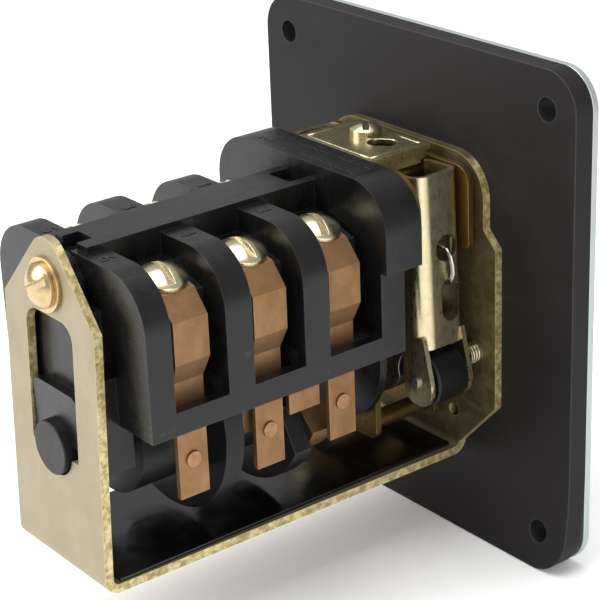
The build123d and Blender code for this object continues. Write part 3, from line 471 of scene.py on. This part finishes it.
def extension_spring(work):
    """Close-wound coil between the arms; each end leaves by the arm's round hole and hooks into its slot."""
    wire, coil_r, half, y0, z0, turns = 0.58, 1.45, 14.6, 9.5, 15.1, 26
    hook = ((17.5, 9.5, 15.1), (20.0, 9.5, 15.1), (22.4, 9.5, 14.8), (23.5, 9.4, 13.7), (23.9, 9.2, 11.8),
            (23.9, 9.0, 9.8), (23.2, 8.9, 8.0), (21.8, 8.9, 7.1), (19.8, 8.9, 6.9))
    path = [Vector((-x, y, z)) for x, y, z in reversed(hook)]
    steps = turns * 14
    for step in range(steps + 1):
        turn = 2 * math.pi * step / 14
        x = -half + 2 * half * step / steps
        path.append(Vector((x, y0 + coil_r * math.cos(turn), z0 + coil_r * math.sin(turn))))
    sweep(work, path + [Vector(point) for point in hook], wire)


def screw_threads(work):
    """Thread ridges on the ends of the two front screws that stand out of the flange."""
    ridge_r = 2.16
    for side in SIDES:
        path = []
        for step in range(3 * 16 + 1):
            turn = 2 * math.pi * step / 16
            y = 2.2 + 0.78 * step / 16
            x = side * FRONT_SCREW_X + ridge_r * math.cos(turn)
            path.append(Vector((x, y, FRONT_SCREW_Z + ridge_r * math.sin(turn))))
        sweep(work, path, 0.2, 5)


def barrier_stipple(work):
    """Two rows of small raised marks on the barrier's top, in place of lettering."""
    for row_y in (24.6, 28.7):
        x = -16.5
        while x < 16.5:
            width = random.choice((0.4, 0.5, 0.8))
            place = (x + width / 2, row_y + random.uniform(-0.2, 0.2), BARRIER_TOP_Z)
            raised_bar(work, place, (width, 1.4), 0.1, 0.05)
            x += width + random.choice((0.35, 0.5, 0.7))


def bridge_border(work):
    """Pressed line round the middle panel of the bridge."""
    half_x, front_y, rear_y = 10.6, 6.2, 20.2
    for low, high in (((-half_x, front_y), (-half_x, rear_y)), ((half_x, front_y), (half_x, rear_y)),
                      ((-half_x, rear_y), (half_x, rear_y)), ((-half_x, front_y), (-3.4, front_y)),
                      ((3.8, front_y), (half_x, front_y))):
        start, end = Vector((*low, BRIDGE_TOP_Z)), Vector((*high, BRIDGE_TOP_Z))
        sweep(work, [start.lerp(end, t / 6) for t in range(7)], 0.16, 8)


def digit(name, text, size, place, material, depth):
    """A raised generic digit on the frame, standing on the plane that place gives, in millimetres."""
    curve = bpy.data.curves.new(name, "FONT")
    curve.body = text
    curve.size = size
    curve.extrude = depth / 2
    curve.bevel_depth = 0.03
    curve.align_x = "CENTER"
    curve.align_y = "CENTER"
    temporary = bpy.data.objects.new(name + "_curve", curve)
    bpy.context.scene.collection.objects.link(temporary)
    bpy.context.view_layer.update()
    mesh = bpy.data.meshes.new_from_object(temporary)
    bpy.data.objects.remove(temporary)
    mesh.name = name
    mesh.transform(Matrix.Scale(MM, 4) @ place)
    mesh.materials.clear()
    mesh.materials.append(material)
    piece = bpy.data.objects.new(name, mesh)
    bpy.context.scene.collection.objects.link(piece)
    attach(piece, "frame")
    return piece


def stage_digits():
    """Generic contact numbers moulded on the tops of the fins."""
    for y, left, right in ((86.5, 5, 6), (67.6, 3, 4), (48.4, 1, 2)):
        for side, number in ((1, left), (-1, right)):
            place = Matrix.Translation((side * 10.4, y, FIN_TOP_Z + 0.04)) @ Matrix.Rotation(math.pi, 4, "Z")
            name = f"contact_number_{number}"
            piece = digit(name, str(number), 4.6, place, MATERIALS["moulded_black"], 0.12)


def dial_marks(work):
    """Position ticks on the nameplate's front, one for each of the rotor's three positions."""
    for angle in (-45, 0, 45):
        turn = math.radians(angle)
        out = Vector((math.sin(turn), 0, math.cos(turn)))
        across = Vector((math.cos(turn), 0, -math.sin(turn)))
        start = Vector((0, NAMEPLATE_FRONT_Y, AXIS_Z)) + out * 19.5
        corners = []
        for depth in (0.0, -0.12):
            for a, b in ((0, -0.6), (0, 0.6), (6.0, 0.6), (6.0, -0.6)):
                corners.append(work.verts.new(start + out * a + across * b + Vector((0, depth, 0))))
        low, high = corners[:4], corners[4:]
        work.faces.new(low)
        work.faces.new(high)
        for step in range(4):
            after = (step + 1) % 4
            work.faces.new((low[step], low[after], high[after], high[step]))


def dial_numbers():
    """Generic position numbers beside the ticks."""
    for angle, text in ((-45, "1"), (0, "0"), (45, "2")):
        turn = math.radians(angle)
        centre = Vector((29.5 * math.sin(turn), NAMEPLATE_FRONT_Y, AXIS_Z + 29.5 * math.cos(turn)))
        place = Matrix.Translation(centre) @ Matrix.Rotation(math.pi / 2, 4, "X")
        piece = digit(f"dial_number_{text}", text, 6.0, place, MARK_WHITE, 0.14)


def build_fine_pieces():
    spring = add_mesh("detent_spring_coil", extension_spring, MATERIALS["steel"], "frame")
    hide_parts("detent_spring")
    for name, build, slot in (("front_screw_threads", screw_threads, "screw_nickel"),
                              ("barrier_marks", barrier_stipple, "moulded_black"),
                              ("bridge_border", bridge_border, "nickel_sheet")):
        add_mesh(name, build, MATERIALS[slot], "frame")
    add_mesh("dial_marks", dial_marks, MARK_WHITE, "frame")
    stage_digits()
    dial_numbers()


# -------------------------------------------------------- floor, light, view

def add_floor(level):
    """Plain pale floor, wide enough to fill every view."""
    mesh = bpy.data.meshes.new("floor")
    reach = 6.0
    corners = [(x * reach, y * reach, level) for x, y in ((-1, -1), (1, -1), (1, 1), (-1, 1))]
    mesh.from_pydata(corners, [], [(0, 1, 2, 3)])
    floor = bpy.data.objects.new("floor", mesh)
    bpy.context.scene.collection.objects.link(floor)
    s = Surface("floor_pale", specular=0.2)
    cloud = s.noise(60.0, detail=2)
    mesh.materials.append(s.finish(s.blend(cloud, linear("F6F6F6"), linear("FAFAFA")), 0.75))


def add_area(name, place, target, size, power, colour=(1.0, 1.0, 1.0)):
    light = bpy.data.lights.new(name, "AREA")
    light.shape = "RECTANGLE"
    light.size, light.size_y = size
    light.energy = power
    light.color = colour
    lamp = bpy.data.objects.new(name, light)
    lamp.location = place
    lamp.rotation_euler = (Vector(target) - Vector(place)).to_track_quat("-Z", "Y").to_euler()
    bpy.context.scene.collection.objects.link(lamp)


def add_light():
    world = bpy.data.worlds.new("studio")
    world.use_nodes = True
    background = world.node_tree.nodes["Background"]
    background.inputs["Color"].default_value = (1.0, 1.0, 1.0, 1.0)
    background.inputs["Strength"].default_value = 0.62
    bpy.context.scene.world = world
    centre = (0.0, 0.03, 0.0)
    add_area("overhead", (0.05, 0.15, 0.75), centre, (0.7, 0.7), 7.0)
    add_area("key", (0.35, 0.7, 0.45), centre, (0.5, 0.5), 6.0)
    add_area("side", (-0.75, 0.25, 0.2), centre, (0.5, 0.6), 3.0)


def add_camera():
    """Camera at the viewing angle, from its axes in the part's frame."""
    camera = bpy.data.cameras.new("camera")
    camera.sensor_width = 36.0
    camera.lens = 118.28
    camera.clip_start = 0.01
    right, down, forward = (Vector(v).normalized() for v in (
        (-0.6193, -0.7843, -0.0368), (-0.2868, 0.2696, -0.9193), (0.7309, -0.5588, -0.3919)))
    turn = Matrix((right, -down, -forward)).transposed().to_4x4()
    view = bpy.data.objects.new("camera", camera)
    view.matrix_world = Matrix.Translation((-0.3123, 0.2709, 0.1704)) @ turn
    bpy.context.scene.collection.objects.link(view)
    bpy.context.scene.camera = view


finish_cad_nodes()
build_fine_pieces()
add_floor(cad_box[0][2] - 0.0002)
add_light()
add_camera()
bpy.context.scene.view_settings.view_transform = "Standard"
